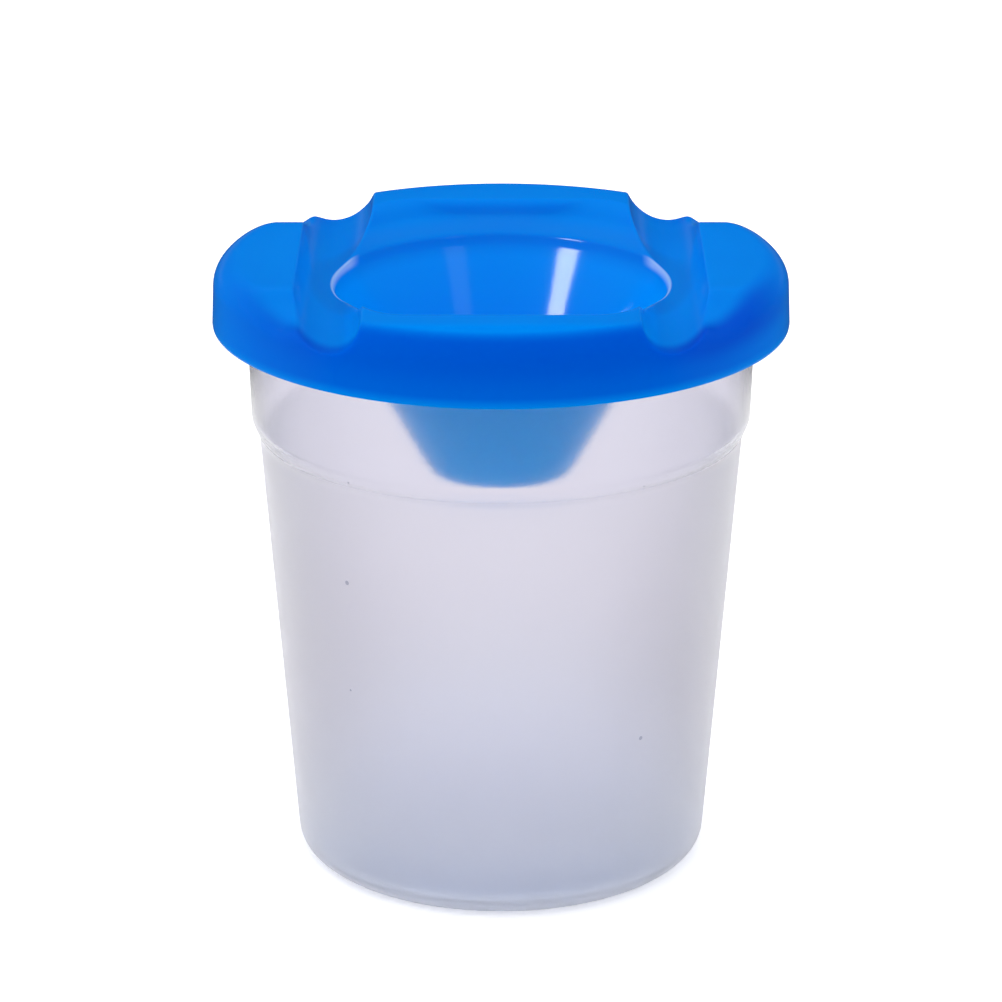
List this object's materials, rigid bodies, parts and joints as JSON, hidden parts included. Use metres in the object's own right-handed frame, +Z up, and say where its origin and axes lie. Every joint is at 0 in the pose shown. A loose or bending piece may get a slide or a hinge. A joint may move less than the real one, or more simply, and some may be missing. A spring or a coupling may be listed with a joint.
{
  "type": "paint cup with lid",
  "caption": "Round tapered paint cup with a lift-off lid that has a funnel mouth in a basin and a channel on each side to lay a brush in.",
  "frame": {"origin": "centre of the base, on the surface that the cup stands on", "axes": "+Z up along the cup's axis, +Y towards one raised band of the lid, brush channels along Y"},
  "size_m": [0.08, 0.08, 0.0872],
  "materials": {
    "cup_plastic": "natural translucent polypropylene, smooth",
    "lid_plastic": "bright blue flexible polyethylene, satin gloss"
  },
  "bodies": {
    "cup": {"cup": "cup_plastic"},
    "lid": {"lid": "lid_plastic"}
  },
  "joints": [
    {"name": "lid_lift", "type": "slide", "parent": "cup", "child": "lid", "axis": [0, 0, 1], "range_m": [0, 0.04]}
  ]
}
